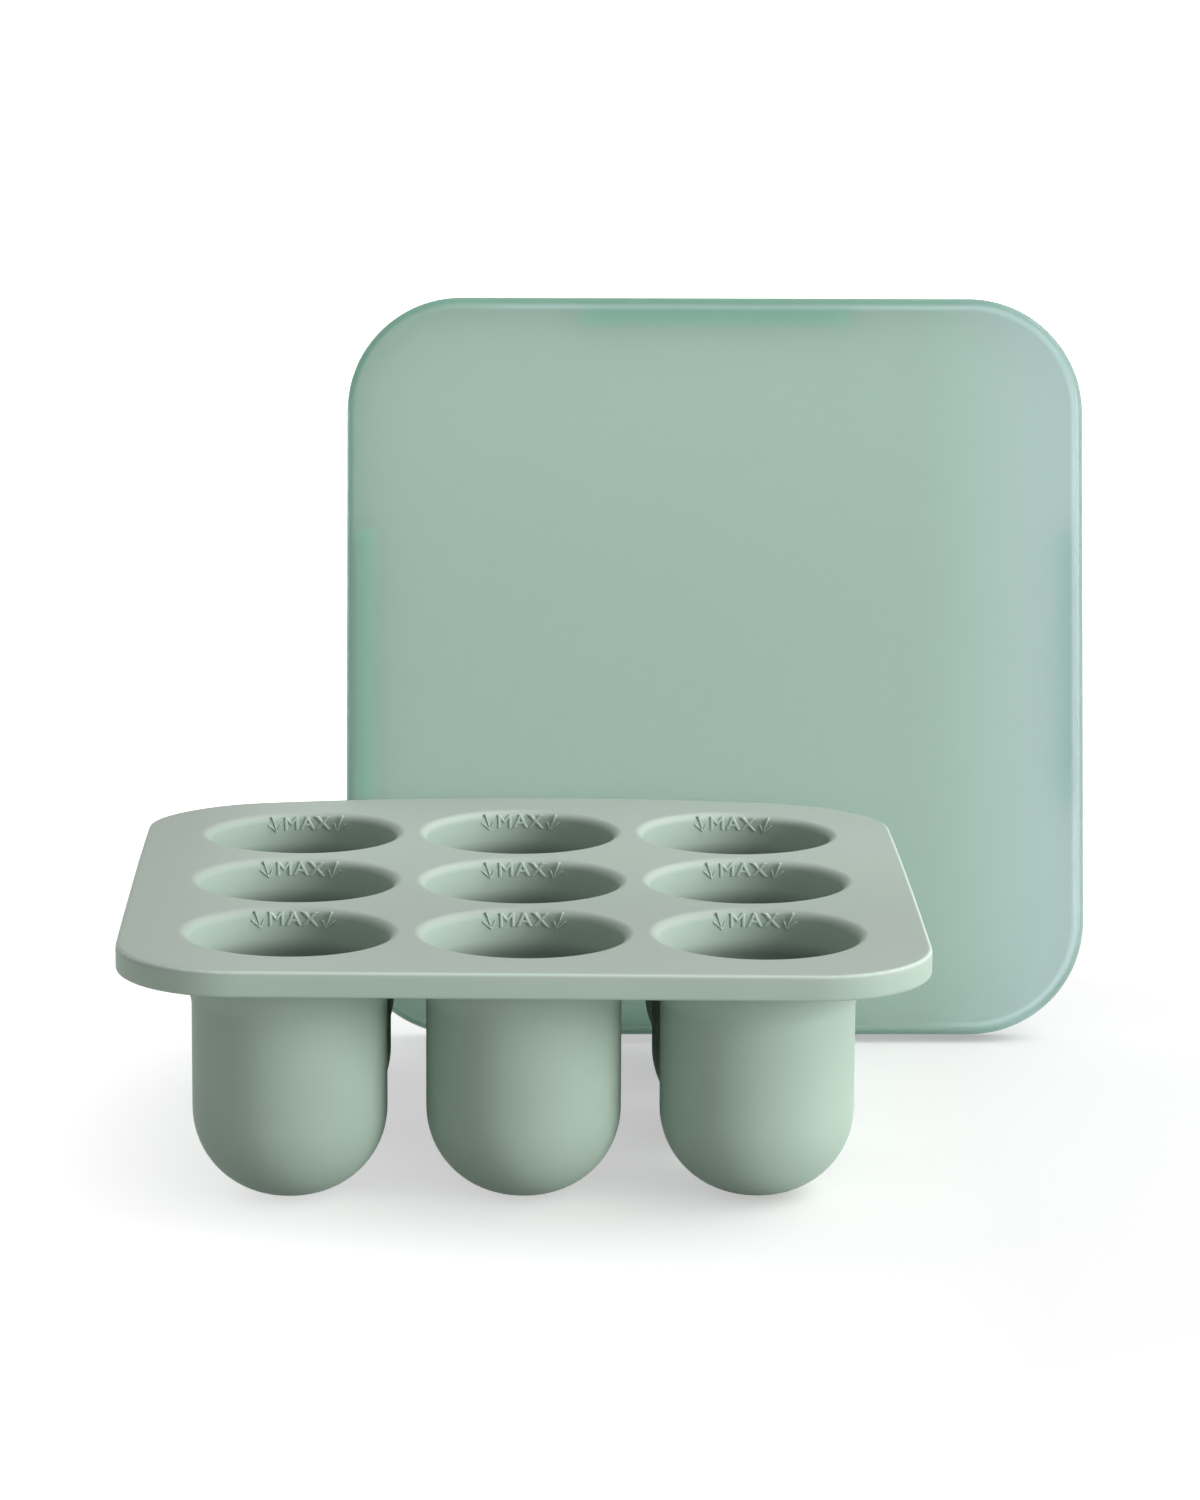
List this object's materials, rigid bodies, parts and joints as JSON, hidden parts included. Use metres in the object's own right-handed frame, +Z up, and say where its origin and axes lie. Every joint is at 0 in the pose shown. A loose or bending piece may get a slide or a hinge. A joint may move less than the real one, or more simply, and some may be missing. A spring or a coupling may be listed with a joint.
{
  "type": "baby food freezer tray",
  "caption": "Square silicone freezer tray of round-bottomed cups with a turned-down rim, and its translucent clip-on lid standing behind it.",
  "frame": {"origin": "on the floor, at the centre of the moulded flat under the middle cup", "axes": "+Z up, +X to the right along the tray's front, and the lid stands on the +Y side"},
  "size_m": [0.2568, 0.2464, 0.2011],
  "materials": {
    "silicone": "matt moulded silicone, sage green",
    "frosted_plastic": "frosted translucent polypropylene, sage green"
  },
  "bodies": {
    "tray": {"silicone_tray": "silicone"},
    "lid": {"snap_lid": "frosted_plastic"}
  },
  "joints": [
    {"name": "lid_lift", "type": "slide", "parent": "tray", "child": "lid", "axis": [0, 0.2233, 0.9748], "range_m": [0, 0.12]}
  ]
}
